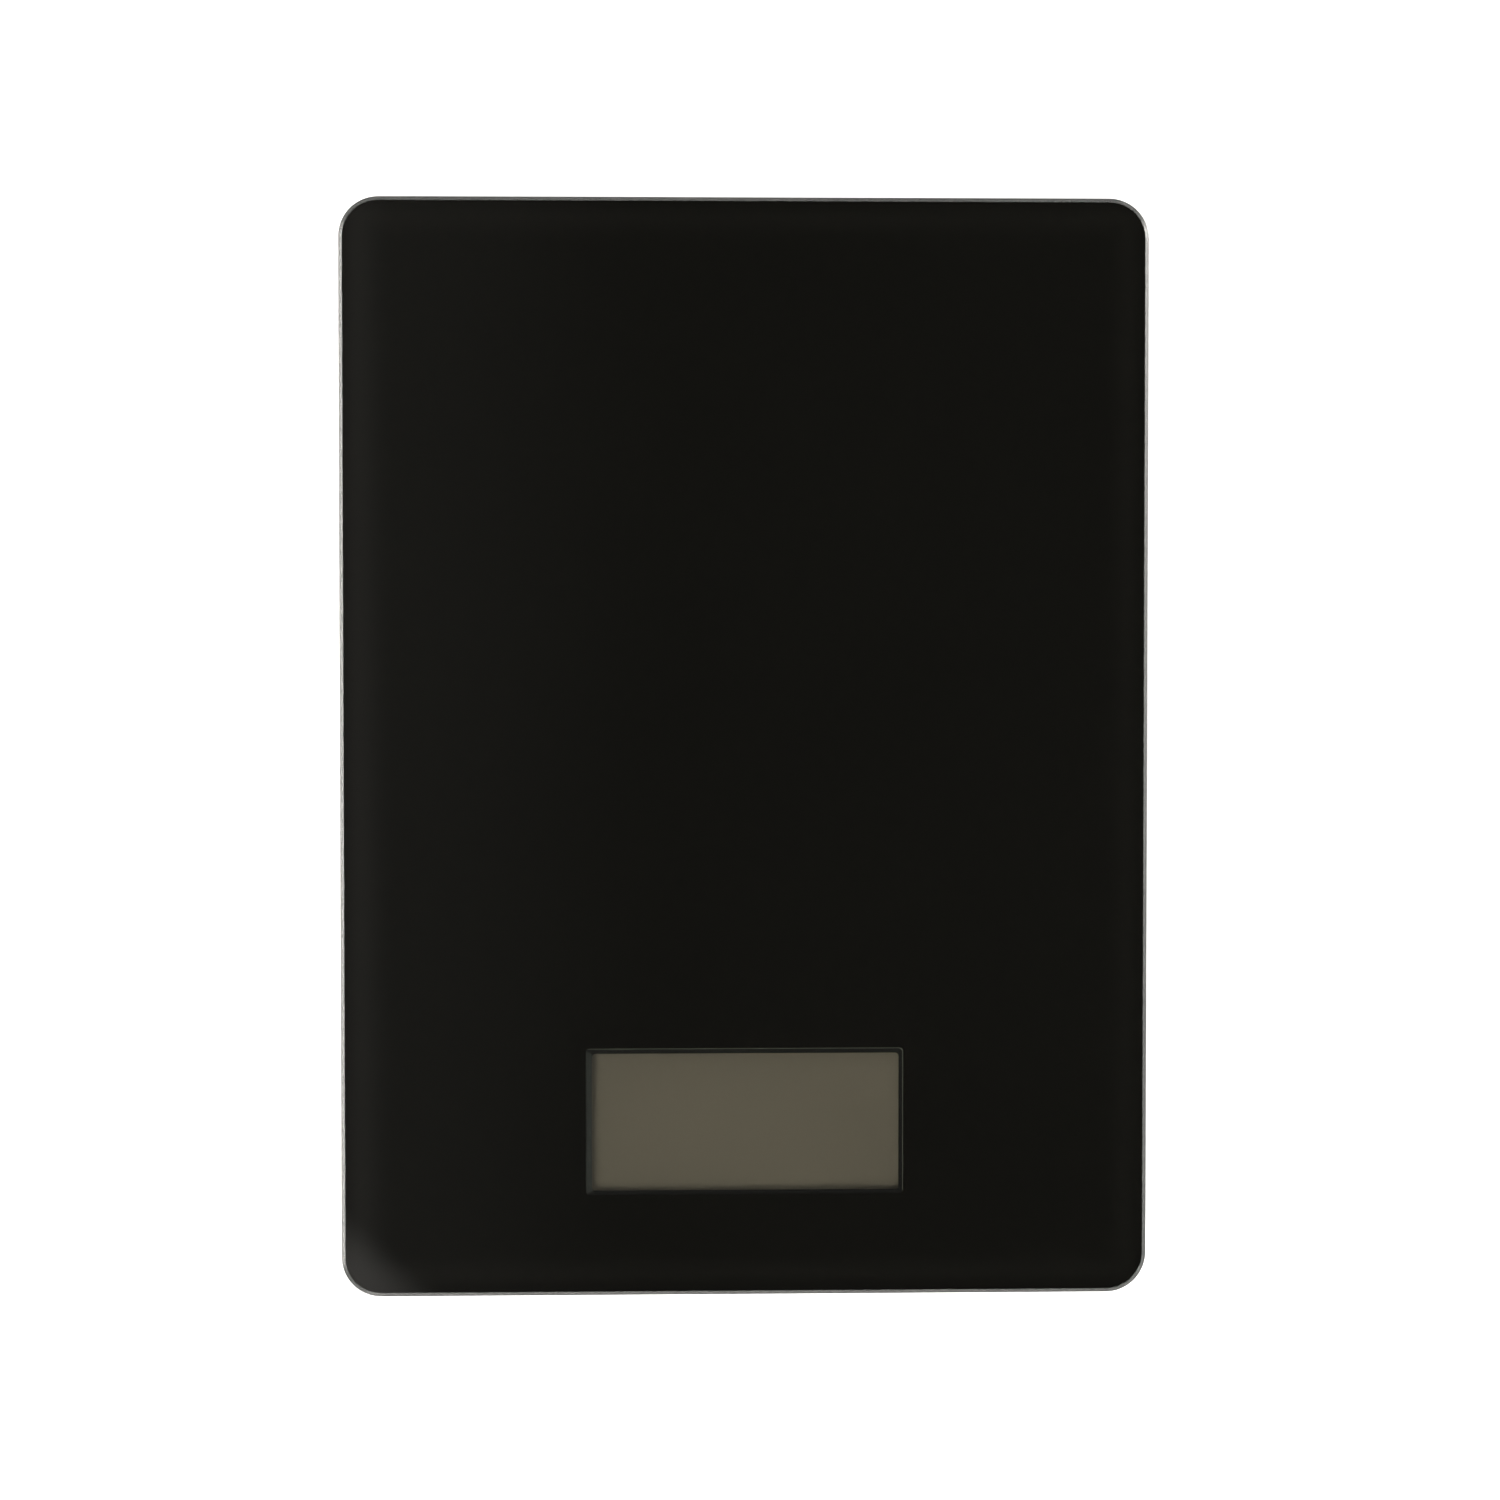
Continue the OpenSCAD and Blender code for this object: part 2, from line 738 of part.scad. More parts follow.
// Clip that touches the side of the coin cell and leaves the compartment as a solder tab
module battery_contact_positive() {
  side = -coin_d / 2;
  color("#b8a36a") at_battery() translate([0, strip_w / 2, 0]) rotate([90, 0, 0]) linear_extrude(strip_w)
    polygon([
      [side, z_coin + 0.6], [side, z_pocket - strip_t], [side - 0.5, z_pocket],
      [-terminal_x, z_pocket], [-terminal_x, z_pocket - strip_t],
      [side - strip_t - 0.3, z_pocket - strip_t], [side - strip_t, z_pocket - 0.7], [side - strip_t, z_coin + 0.6]
    ]);
}

// Leaf spring that presses on the cap and leaves the compartment as a solder tab
module battery_contact_negative() {
  color("#b8a36a") at_battery() translate([0, strip_w / 2, 0]) rotate([90, 0, 0]) linear_extrude(strip_w)
    polygon([
      [-5, z_coin_top], [-2, z_coin_top], [3, z_pocket - strip_t], [terminal_x, z_pocket - strip_t],
      [terminal_x, z_pocket], [2.8, z_pocket], [-2.2, z_coin_top + strip_t], [-5, z_coin_top + strip_t]
    ]);
}

// Door with two hinge tabs at the back and a springy latch tongue at the front
module battery_door() {
  front = -door_l / 2;
  back = door_l / 2;
  slit_l = 7;
  latch_w = 12;
  grip_pitch = 1.6;
  color("#17181a") at_battery() difference() {
    union() {
      round_plate(door_w, door_l, 1.4, ground_gap, door_t);
      for (s = [-1, 1]) {
        translate([s * tab_x - tab_w / 2, back - 2.8, ground_gap + 0.4]) cube([tab_w, 2.6, z_tab + tab_t - ground_gap - 0.4]);
        translate([s * tab_x - tab_w / 2, back - 2.8, z_tab]) cube([tab_w, tab_reach + 2.8, tab_t]);
      }
      translate([0, front, 0]) block(latch_w - 2, 0.3, z_door_top - 0.5, 0.5);
    }
    for (s = [-1, 1])
      translate([s * latch_w / 2, front + slit_l / 2 - 0.5, 0]) block(0.8, slit_l + 1, ground_gap - cut, door_t + 2 * cut);
    for (i = [0:3])
      translate([0, front + 2 + grip_pitch * i, 0]) block(latch_w - 3, 0.6, ground_gap - cut, 0.3 + cut);
  }
}

// ---------- Assembly ----------

glass_platform();
enamel_backing();
adhesive_tape();
support_pads();
base_housing();
at_foot(-1, -1) foot_cup();  // foot_cup_front_left
at_foot(1, -1) foot_cup();  // foot_cup_front_right
at_foot(-1, 1) foot_cup();  // foot_cup_rear_left
at_foot(1, 1) foot_cup();  // foot_cup_rear_right
at_foot(-1, -1) foot_pad();  // foot_pad_front_left
at_foot(1, -1) foot_pad();  // foot_pad_front_right
at_foot(-1, 1) foot_pad();  // foot_pad_rear_left
at_foot(1, 1) foot_pad();  // foot_pad_rear_right
at_foot(-1, -1) foot_screw();  // foot_screw_front_left
at_foot(1, -1) foot_screw();  // foot_screw_front_right
at_foot(-1, 1) foot_screw();  // foot_screw_rear_left
at_foot(1, 1) foot_screw();  // foot_screw_rear_right
at_foot(-1, -1) load_cell();  // load_cell_front_left
at_foot(1, -1) load_cell();  // load_cell_front_right
at_foot(-1, 1) load_cell();  // load_cell_rear_left
at_foot(1, 1) load_cell();  // load_cell_rear_right
strain_gauges();
gauge_sealant();
cell_screws();
cell_wires_red();
cell_wires_black();
cell_wires_white();
main_pcb();
cob_chip();
smd_parts();
pcb_screws();
touch_springs();
lcd_front_glass();
lcd_rear_glass();
lcd_front_polarizer();
lcd_rear_polarizer();
zebra_strips();
display_frame();
display_gasket();
display_screws();
unit_switch_body();
unit_switch_plunger();
unit_button();
coin_cell_can();
coin_cell_gasket();
coin_cell_cap();
battery_contact_positive();
battery_contact_negative();
battery_door();
battery_wire_red();
battery_wire_black();
rating_label();
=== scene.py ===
import math

import bpy
from mathutils import Matrix, Vector


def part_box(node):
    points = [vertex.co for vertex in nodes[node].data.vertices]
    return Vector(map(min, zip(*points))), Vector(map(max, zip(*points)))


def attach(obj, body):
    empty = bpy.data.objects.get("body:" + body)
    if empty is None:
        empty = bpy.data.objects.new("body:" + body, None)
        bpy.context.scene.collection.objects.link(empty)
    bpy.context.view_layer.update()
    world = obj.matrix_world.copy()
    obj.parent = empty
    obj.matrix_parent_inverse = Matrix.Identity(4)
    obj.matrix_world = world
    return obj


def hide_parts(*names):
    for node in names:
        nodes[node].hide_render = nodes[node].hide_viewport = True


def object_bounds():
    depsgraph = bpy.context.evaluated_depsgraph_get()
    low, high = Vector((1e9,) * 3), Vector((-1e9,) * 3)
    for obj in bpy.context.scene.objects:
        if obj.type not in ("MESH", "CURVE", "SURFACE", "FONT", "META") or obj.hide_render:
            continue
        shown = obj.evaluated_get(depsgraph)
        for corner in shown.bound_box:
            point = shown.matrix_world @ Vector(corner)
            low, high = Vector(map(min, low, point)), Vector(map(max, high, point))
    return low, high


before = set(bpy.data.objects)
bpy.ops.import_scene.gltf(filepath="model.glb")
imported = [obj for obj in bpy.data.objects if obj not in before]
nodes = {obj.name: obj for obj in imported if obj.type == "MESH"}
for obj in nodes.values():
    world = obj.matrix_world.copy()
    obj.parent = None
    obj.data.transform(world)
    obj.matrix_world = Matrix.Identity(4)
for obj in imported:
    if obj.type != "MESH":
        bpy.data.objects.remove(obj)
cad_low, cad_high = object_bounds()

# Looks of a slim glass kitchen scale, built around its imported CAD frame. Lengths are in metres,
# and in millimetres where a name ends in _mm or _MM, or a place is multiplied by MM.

MM = 0.001
CORNERS = ("front_left", "front_right", "rear_left", "rear_right")
top = cad_high.z


# ---------- Camera ----------

CAMERA_OFFSET = Vector((-36.4, 34.5, 881.4)) * MM      # from the middle of the glass
CAMERA_TARGET = Vector((0.97, -0.3, 0)) * MM            # on the top of the glass, from its middle
CAMERA_LENS_MM = 105.8
SENSOR_MM = 36
CLIP_START, CLIP_END = 0.01, 50


def add_camera():
    middle = Vector((0, 0, top))
    data = bpy.data.cameras.new("camera")
    data.lens = CAMERA_LENS_MM
    data.sensor_width = SENSOR_MM
    data.clip_start = CLIP_START
    data.clip_end = CLIP_END
    camera = bpy.data.objects.new("camera", data)
    camera.location = middle + CAMERA_OFFSET
    look = CAMERA_TARGET - CAMERA_OFFSET
    back = -look.normalized()
    right = Vector((0, 1, 0)).cross(back).normalized()
    up = back.cross(right)
    turn = Matrix((right, up, back)).transposed().to_4x4()
    camera.matrix_world = Matrix.Translation(camera.location) @ turn
    bpy.context.scene.collection.objects.link(camera)
    bpy.context.scene.camera = camera


add_camera()


# ---------- Node materials ----------

class Look:
    """A node material round one Principled shader.

    Texture places are in millimetres of the piece's own frame.
    """

    def __init__(self, name, **sockets):
        self.material = bpy.data.materials.new(name)
        self.material.use_nodes = True
        self.tree = self.material.node_tree
        self.tree.nodes.clear()
        self.output = self.add("ShaderNodeOutputMaterial")
        self.shader = self.add("ShaderNodeBsdfPrincipled")
        self.join(self.shader.outputs[0], self.output.inputs["Surface"])
        for socket, value in sockets.items():
            self.shader.inputs[socket.replace("_", " ")].default_value = value
        place = self.add("ShaderNodeTexCoord").outputs["Object"]
        self.place = self.vector("SCALE", place, scale=1 / MM)

    def add(self, kind, **settings):
        node = self.tree.nodes.new(kind)
        for name, value in settings.items():
            setattr(node, name, value)
        return node

    def join(self, source, socket):
        self.tree.links.new(source, socket)

    def put(self, value, socket):
        """Links an output, or sets a plain value."""
        if isinstance(value, bpy.types.NodeSocket):
            self.join(value, socket)
        else:
            socket.default_value = value

    def set(self, socket, value):
        self.put(value, self.shader.inputs[socket])

    def vector(self, operation, a, b=None, scale=None):
        node = self.add("ShaderNodeVectorMath", operation=operation)
        self.put(a, node.inputs[0])
        if b is not None:
            self.put(b, node.inputs[1])
        if scale is not None:
            node.inputs["Scale"].default_value = scale
        return node.outputs["Value" if operation in ("LENGTH", "DOT_PRODUCT") else "Vector"]

    def math(self, operation, a, b=0.0, clamp=False):
        node = self.add("ShaderNodeMath", operation=operation, use_clamp=clamp)
        self.put(a, node.inputs[0])
        self.put(b, node.inputs[1])
        return node.outputs[0]

    def axes(self):
        node = self.add("ShaderNodeSeparateXYZ")
        self.join(self.place, node.inputs[0])
        return node.outputs[0], node.outputs[1], node.outputs[2]

    def noise(self, per_mm, detail=2.0, rough=0.5, stretch=(1, 1, 1), place=None):
        place = self.vector("MULTIPLY", place or self.place, stretch)
        node = self.add("ShaderNodeTexNoise")
        self.join(place, node.inputs["Vector"])
        node.inputs["Scale"].default_value = per_mm
        node.inputs["Detail"].default_value = detail
        node.inputs["Roughness"].default_value = rough
        return node.outputs[0]

    def cells(self, per_mm, randomness=1.0):
        """Distance from the middle of the nearest cell, as a share of a cell."""
        node = self.add("ShaderNodeTexVoronoi")
        self.join(self.place, node.inputs["Vector"])
        node.inputs["Scale"].default_value = per_mm
        node.inputs["Randomness"].default_value = randomness
        return node.outputs["Distance"]

    def stripes(self, value, period, share):
        """1 on bands that take up a share of each period, else 0."""
        phase = self.math("FRACT", self.math("DIVIDE", value, period))
        return self.math("LESS_THAN", phase, share)

    def within(self, value, middle, reach):
        """1 where the value is nearer than reach to the middle, else 0."""
        return self.math("LESS_THAN", self.math("ABSOLUTE", self.math("SUBTRACT", value, middle)), reach)

    def every(self, *masks):
        """1 where all the masks are 1."""
        product = masks[0]
        for mask in masks[1:]:
            product = self.math("MULTIPLY", product, mask)
        return product

    def fit(self, value, low, high, to_low=0.0, to_high=1.0):
        """Stretches a range of values to another, and stops at its ends."""
        node = self.add("ShaderNodeMapRange", clamp=True)
        self.put(value, node.inputs[0])
        for i, v in enumerate((low, high, to_low, to_high), 1):
            node.inputs[i].default_value = v
        return node.outputs[0]

    def blend(self, share, a, b):
        node = self.add("ShaderNodeMix", data_type="RGBA")
        self.put(share, node.inputs[0])
        self.put(a, node.inputs[6])
        self.put(b, node.inputs[7])
        return node.outputs[2]

    def bump(self, height, depth_mm, strength=1.0):
        node = self.add("ShaderNodeBump")
        node.inputs["Strength"].default_value = strength
        node.inputs["Distance"].default_value = depth_mm * MM
        self.join(height, node.inputs["Height"])
        return node.outputs[0]

    def facing(self, axis):
        """How far the surface faces along an axis of the frame, from -1 to 1."""
        normal = self.add("ShaderNodeNewGeometry").outputs["True Normal"]
        return self.vector("DOT_PRODUCT", normal, axis)

    def clear_where(self, mask, tint=(1, 1, 1)):
        """Lets rays straight through, tinted, where the mask is 1."""
        clear = self.add("ShaderNodeBsdfTransparent")
        clear.inputs[0].default_value = (*tint, 1)
        mix = self.add("ShaderNodeMixShader")
        self.join(mask, mix.inputs[0])
        self.join(self.shader.outputs[0], mix.inputs[1])
        self.join(clear.outputs[0], mix.inputs[2])
        self.join(mix.outputs[0], self.output.inputs["Surface"])

    def shadow_rays(self):
        """1 for a ray that looks for a lamp, else 0."""
        return self.add("ShaderNodeLightPath").outputs["Is Shadow Ray"]


def rgb(r, g, b):
    return (r, g, b, 1.0)


def dress(look, *names):
    """Puts a look on CAD nodes."""
    for name in names:
        slots = nodes[name].data.materials
        slots.clear()
        slots.append(look.material)


# ---------- Platform glass and its black backing ----------

CLEAR = rgb(0.955, 0.972, 0.945)
GROUND = rgb(0.33, 0.39, 0.32)
BEVEL_ROUGHNESS = 0.26
BEVEL_HAZE = 0.01
SIDE_HAZE = 0.45
PRINT_BLACKS = rgb(0.0014, 0.0013, 0.0009), rgb(0.0020, 0.0019, 0.0014)
# Painted light: the paler band near the edge of the black enamel
PAINTED_EDGE_GLOW = rgb(0.0027, 0.0025, 0.0020)
BOND_MM = 0.02


def platform_glass():
    """Clear, slightly green glass with satin bevels and a ground edge that scatters light."""
    look = Look("platform_glass", Base_Color=CLEAR, IOR=1.52)
    up = look.math("ABSOLUTE", look.facing((0, 0, 1)))
    bevel = look.fit(up, 0.93, 0.99, 1.0, 0.0)
    side = look.fit(up, 0.15, 0.55, 1.0, 0.0)
    streaks = look.noise(0.9, detail=4, rough=0.65)
    grain = look.noise(3.0, detail=2, stretch=(1, 1, 3))
    wear = look.fit(streaks, 0.3, 0.7, 0.93, 1.0)
    satin = look.math("MULTIPLY", bevel, wear)
    frost = look.math("MULTIPLY", side, wear)
    look.set("Roughness", look.math("MULTIPLY", satin, BEVEL_ROUGHNESS))
    bevel_haze = look.math("MULTIPLY", satin, BEVEL_HAZE)
    haze = look.math("ADD", bevel_haze, look.math("MULTIPLY", frost, SIDE_HAZE))
    look.set("Transmission Weight", look.math("SUBTRACT", 1.0, haze))
    look.set("Base Color", look.blend(satin, CLEAR, GROUND))
    look.set("Normal", look.bump(look.math("MULTIPLY", grain, frost), 0.02, 0.3))
    look.clear_where(look.shadow_rays(), (0.92, 0.95, 0.93))
    return look


def black_enamel():
    """Fired black print, in optical contact with the glass, with a few specks of dust baked in, and a
    paler band of painted light a few millimetres in from the edge.
    """
    look = Look("black_enamel", Roughness=0.6, Specular_IOR_Level=0.0)
    cloud = look.noise(0.02, detail=3)
    speck = look.math("LESS_THAN", look.cells(0.12), 0.008)
    colour = look.blend(cloud, *PRINT_BLACKS)
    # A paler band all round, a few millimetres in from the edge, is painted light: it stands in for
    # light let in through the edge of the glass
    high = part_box("enamel_backing")[1] / MM
    x, y, _ = look.axes()
    from_side = look.math("SUBTRACT", high.x, look.math("ABSOLUTE", x))
    from_end = look.math("SUBTRACT", high.y, look.math("ABSOLUTE", y))
    from_edge = look.math("MINIMUM", from_side, from_end)
    painted_glow = look.every(look.fit(from_edge, 1.2, 3.4), look.fit(from_edge, 7.5, 3.8))
    colour = look.blend(painted_glow, colour, PAINTED_EDGE_GLOW)
    look.set("Base Color", look.blend(speck, colour, rgb(0.02, 0.02, 0.018)))
    return look


dress(platform_glass(), "glass_platform")
dress(black_enamel(), "enamel_backing")
# The enamel is fused to the glass: it reaches a hair into it, so that no air is left between them
bond = nodes["enamel_backing"].modifiers.new("fused_to_glass", "DISPLACE")
bond.strength = BOND_MM * MM
bond.mid_level = 0


# ---------- Plastics, rubbers and metals ----------

def moulded(name, colour, grain_mm=0.3, depth_mm=0.02, roughness=0.5, shine=0.4):
    """Moulded plastic with a fine spark-eroded grain, and lightly rubbed where it is handled."""
    look = Look(name, Roughness=roughness, Specular_IOR_Level=shine)
    grain = look.noise(1 / grain_mm, detail=3, rough=0.6)
    rubbed = look.noise(0.05, detail=4, rough=0.6)
    flecks = look.fit(look.noise(2.2, detail=2), 0.35, 0.75)
    lighter = rgb(*(c * 1.3 + 0.001 for c in colour))
    look.set("Base Color", look.blend(flecks, rgb(*colour), lighter))
    look.set("Roughness", look.fit(rubbed, 0.3, 0.7, roughness - 0.05, roughness + 0.05))
    look.set("Normal", look.bump(grain, depth_mm, 0.6))
    return look


def rubber(name, colour, grain_mm=0.25, shine=0.25):
    """Matt rubber or foam with fine pores and a little dust."""
    look = Look(name, Roughness=0.8, Specular_IOR_Level=shine)
    grain = look.noise(1 / grain_mm, detail=2)
    dust = look.noise(0.5, detail=4, rough=0.7)
    dusty = rgb(*(c * 1.5 for c in colour))
    look.set("Base Color", look.blend(look.fit(dust, 0.5, 0.8), rgb(*colour), dusty))
    look.set("Normal", look.bump(grain, 0.03, 0.5))
    return look


def brushed(name, colour, roughness=0.3, along=(1, 14, 14)):
    """Metal with fine lines drawn along one axis, and faint stains."""
    look = Look(name, Metallic=1.0, Roughness=roughness)
    lines = look.noise(0.8, detail=4, rough=0.7, stretch=along)
    stain = look.noise(0.12, detail=3)
    darker = rgb(*(c * 0.8 for c in colour))
    look.set("Base Color", look.blend(look.fit(stain, 0.3, 0.8), rgb(*colour), darker))
    look.set("Roughness", look.fit(lines, 0.3, 0.7, roughness - 0.08, roughness + 0.14))
    look.set("Normal", look.bump(lines, 0.01, 0.4))
    return look


def turned(name, colour, middle):
    """Metal spun about a vertical axis, which leaves fine rings."""
    roughness = 0.2
    look = Look(name, Metallic=1.0, Roughness=roughness)
    from_axis = look.vector("SUBTRACT", look.place, (middle.x / MM, middle.y / MM, 0))
    radius = look.vector("LENGTH", from_axis)
    ring = look.add("ShaderNodeCombineXYZ")
    look.join(radius, ring.inputs[0])
    rings = look.noise(9.0, detail=3, rough=0.7, place=ring.outputs[0])
    stain = look.noise(0.2, detail=3)
    darker = rgb(*(c * 0.82 for c in colour))
    look.set("Base Color", look.blend(look.fit(stain, 0.35, 0.75), rgb(*colour), darker))
    look.set("Roughness", look.fit(rings, 0.3, 0.7, roughness - 0.06, roughness + 0.12))
    look.set("Normal", look.bump(rings, 0.006, 0.4))
    return look


def clear_glass(name):
    """Thin display glass, with the faintest haze."""
    tint = (0.96, 0.965, 0.955)
    look = Look(name, Base_Color=rgb(*tint), IOR=1.5, Transmission_Weight=1.0)
    look.set("Roughness", look.fit(look.noise(0.3, detail=2), 0.3, 0.7, 0.0, 0.03))
    look.clear_where(look.shadow_rays(), tint)
    return look


def polarizer(name, colour):
    """Satin film over an unlit display."""
    look = Look(name, Roughness=0.42, Specular_IOR_Level=0.1)
    cloud = look.noise(0.05, detail=2)
    grain = look.noise(9.0, detail=1)
    darker = rgb(*(c * 0.93 for c in colour))
    grainy = rgb(*(c * 0.85 for c in colour))
    shade = look.blend(cloud, rgb(*colour), darker)
    look.set("Base Color", look.blend(look.fit(grain, 0.3, 0.7, 0.0, 0.5), shade, grainy))
    look.set("Normal", look.bump(grain, 0.008, 0.2))
    return look


STEEL = (0.72, 0.73, 0.74)
FOAM = (0.022, 0.022, 0.022)
FRAME_BLACK = (0.0035, 0.0035, 0.0035)
RUBBER_GREY = (0.045, 0.045, 0.045)
GAUGE_SIZE_MM = (4.4, 5.0)


# ---------- Electronics ----------

def circuit_board():
    """Green mask over copper tracks, bare glass-epoxy on the edges."""
    look = Look("circuit_board", Roughness=0.3, Specular_IOR_Level=0.5)
    block = look.vector("FLOOR", look.vector("DIVIDE", look.place, (7, 5, 100)))
    chance = look.add("ShaderNodeTexWhiteNoise")
    look.join(block, chance.inputs["Vector"])
    x, y, _ = look.axes()
    lengthways = look.stripes(y, 1.1, 0.38)
    crossways = look.stripes(x, 1.3, 0.34)
    turn = look.math("GREATER_THAN", chance.outputs["Value"], 0.45)
    flip = look.math("SUBTRACT", 1.0, turn)
    tracks = look.math("ADD", look.every(turn, lengthways), look.every(flip, crossways), clamp=True)
    vias = look.math("LESS_THAN", look.cells(0.28, randomness=0.6), 0.10)
    warp = look.noise(3.0, stretch=(1, 0.2, 1))
    weft = look.noise(3.0, stretch=(0.2, 1, 1))
    weave = look.math("MULTIPLY", warp, weft)
    mask = look.blend(weave, rgb(0.010, 0.085, 0.030), rgb(0.016, 0.12, 0.045))
    copper = look.blend(tracks, mask, rgb(0.035, 0.24, 0.085))
    tinned = look.blend(vias, copper, rgb(0.55, 0.55, 0.52))
    edge = look.math("LESS_THAN", look.math("ABSOLUTE", look.facing((0, 0, 1))), 0.5)
    look.set("Base Color", look.blend(edge, tinned, rgb(0.36, 0.30, 0.13)))
    look.set("Roughness", look.fit(edge, 0.0, 1.0, 0.28, 0.75))
    look.set("Normal", look.bump(tracks, 0.03, 0.5))
    return look


def gauge_foil():
    """Amber film with the folded metal track of a strain gauge."""
    look = Look("gauge_foil", Roughness=0.3)
    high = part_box("strain_gauges")[1]
    width, length = GAUGE_SIZE_MM
    x, y, _ = look.axes()
    across = look.math("SUBTRACT", look.math("ABSOLUTE", x), high.x / MM - width / 2)
    along = look.math("SUBTRACT", look.math("ABSOLUTE", y), high.y / MM - length / 2)
    grid = look.every(look.within(across, 0, 1.5), look.within(along, 0, 1.9))
    grid = look.every(grid, look.stripes(along, 0.36, 0.55))
    pads = look.every(look.within(across, 0, 2.0), look.within(along, 0, 2.2))
    pads = look.every(pads, look.math("GREATER_THAN", look.math("ABSOLUTE", across), 1.5))
    pads = look.every(pads, look.stripes(along, 1.4, 0.7))
    metal = look.math("MAXIMUM", grid, pads)
    film = look.blend(look.noise(0.8), rgb(0.50, 0.20, 0.03), rgb(0.62, 0.29, 0.06))
    look.set("Base Color", look.blend(metal, film, rgb(0.62, 0.55, 0.45)))
    look.set("Metallic", metal)
    return look


def zebra_rubber():
    """Conducting and insulating silicone in turn, which joins the display to the board."""
    look = Look("zebra_rubber", Roughness=0.6)
    x, _, _ = look.axes()
    bands = look.stripes(look.math("ADD", x, 100), 0.36, 0.5)
    pale = look.blend(look.noise(1.5), rgb(0.60, 0.58, 0.53), rgb(0.70, 0.68, 0.62))
    look.set("Base Color", look.blend(bands, pale, rgb(0.02, 0.02, 0.02)))
    look.set("Normal", look.bump(bands, 0.01, 0.3))
    return look


def small_parts():
    """Chip capacitors and resistors: each has its own body colour, with a speckled ceramic grain."""
    look = Look("chip_ceramic", Roughness=0.4)
    chance = look.add("ShaderNodeTexWhiteNoise")
    block = look.vector("FLOOR", look.vector("DIVIDE", look.place, (4, 4, 100)))
    look.join(block, chance.inputs["Vector"])
    body = look.blend(chance.outputs["Value"], rgb(0.30, 0.20, 0.11), rgb(0.42, 0.36, 0.27))
    speckle = look.fit(look.noise(7.0, detail=3), 0.35, 0.7)
    body = look.blend(speckle, body, rgb(0.50, 0.44, 0.34))
    ends = look.math("GREATER_THAN", look.math("ABSOLUTE", look.facing((1, 0, 0))), 0.5)
    look.set("Base Color", look.blend(ends, body, rgb(0.72, 0.72, 0.70)))
    look.set("Metallic", ends)
    return look


def epoxy():
    """Glossy black resin, poured by hand."""
    look = Look("epoxy", Roughness=0.16)
    flow = look.noise(0.35, detail=2)
    blacks = rgb(0.006, 0.006, 0.006), rgb(0.014, 0.014, 0.014)
    look.set("Base Color", look.blend(look.noise(2.0, detail=3), *blacks))
    look.set("Roughness", look.fit(flow, 0.3, 0.7, 0.10, 0.26))
    look.set("Normal", look.bump(flow, 0.15, 0.4))
    return look


def silicone():
    """White sealant with a soft, uneven surface."""
    look = Look("silicone", Roughness=0.45, Subsurface_Weight=0.1)
    flow = look.noise(0.9, detail=3)
    look.set("Base Color", look.blend(flow, rgb(0.70, 0.70, 0.65), rgb(0.80, 0.80, 0.76)))
    look.set("Normal", look.bump(flow, 0.2, 0.5))
    return look


def insulation(name, colour):
    """PVC on a wire, with rub marks and a faint extrusion grain."""
    look = Look(name, Roughness=0.38)
    grain = look.noise(2.5, detail=3)
    paler = rgb(*(c * 0.8 + 0.03 for c in colour))
    look.set("Base Color", look.blend(look.fit(grain, 0.4, 0.8), rgb(*colour), paler))
    look.set("Roughness", look.fit(grain, 0.3, 0.7, 0.3, 0.48))
    return look


def blank_label():
    """Silver-grey polyester with a printed border and two rules, and no wording."""
    look = Look("label_film", Roughness=0.35, Specular_IOR_Level=0.4)
    low, high = (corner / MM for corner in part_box("rating_label"))
    x, y, _ = look.axes()
    across = look.math("SUBTRACT", x, (low.x + high.x) / 2)
    along = look.math("SUBTRACT", y, (low.y + high.y) / 2)
    margin, line, rule, rule_at = 1.6, 0.35, 0.12, 3.6
    half_x, half_y = (high.x - low.x) / 2 - margin, (high.y - low.y) / 2 - margin
    inside, inner = (
        look.every(look.within(across, 0, half_x - inset), look.within(along, 0, half_y - inset))
        for inset in (0, line))
    border = look.math("SUBTRACT", inside, inner)
    rules = look.math("MAXIMUM", look.within(along, rule_at, rule), look.within(along, -rule_at, rule))
    ink = look.math("MAXIMUM", border, look.every(rules, inner))
    sheen = look.noise(0.6, stretch=(0.2, 6, 1), detail=3)
    film = look.blend(sheen, rgb(0.44, 0.45, 0.45), rgb(0.52, 0.53, 0.52))
    look.set("Base Color", look.blend(ink, film, rgb(0.05, 0.05, 0.05)))
    look.set("Normal", look.bump(sheen, 0.004, 0.3))
    return look


frame_plastic = moulded("frame_plastic", FRAME_BLACK, roughness=0.7, shine=0.02)
zinc = brushed("zinc_steel", STEEL, 0.28, along=(6, 6, 1))
foam = rubber("foam", FOAM, 0.6)
tread_rubber = rubber("foot_rubber", RUBBER_GREY)
spring_wire = brushed("spring_steel", (0.68, 0.69, 0.70), 0.25)

dress(clear_glass("display_glass"), "lcd_front_glass", "lcd_rear_glass")
dress(polarizer("display_film", (0.0475, 0.0402, 0.0298)), "lcd_front_polarizer")
dress(polarizer("reflector_film", (0.30, 0.29, 0.24)), "lcd_rear_polarizer")
dress(frame_plastic, "display_frame", "unit_switch_body", "unit_switch_plunger")
dress(foam, "display_gasket", "adhesive_tape", "support_pads")
tray_plastic = moulded("tray_plastic", (0.013, 0.0133, 0.0135), 0.45, 0.05, shine=0.32)
foot_plastic = moulded("foot_plastic", (0.020, 0.020, 0.021), roughness=0.42)
cell_steel = brushed("load_cell_steel", (0.55, 0.56, 0.57), 0.35)
bronze = brushed("contact_bronze", (0.66, 0.52, 0.28), 0.3, (14, 1, 14))
dress(tray_plastic, "base_housing", "battery_door")
dress(foot_plastic, *("foot_cup_" + c for c in CORNERS))
dress(moulded("button_plastic", (0.05, 0.05, 0.052), roughness=0.45), "unit_button")
dress(zinc, "cell_screws", "pcb_screws", "display_screws", *("foot_screw_" + c for c in CORNERS))
dress(cell_steel, *("load_cell_" + c for c in CORNERS))
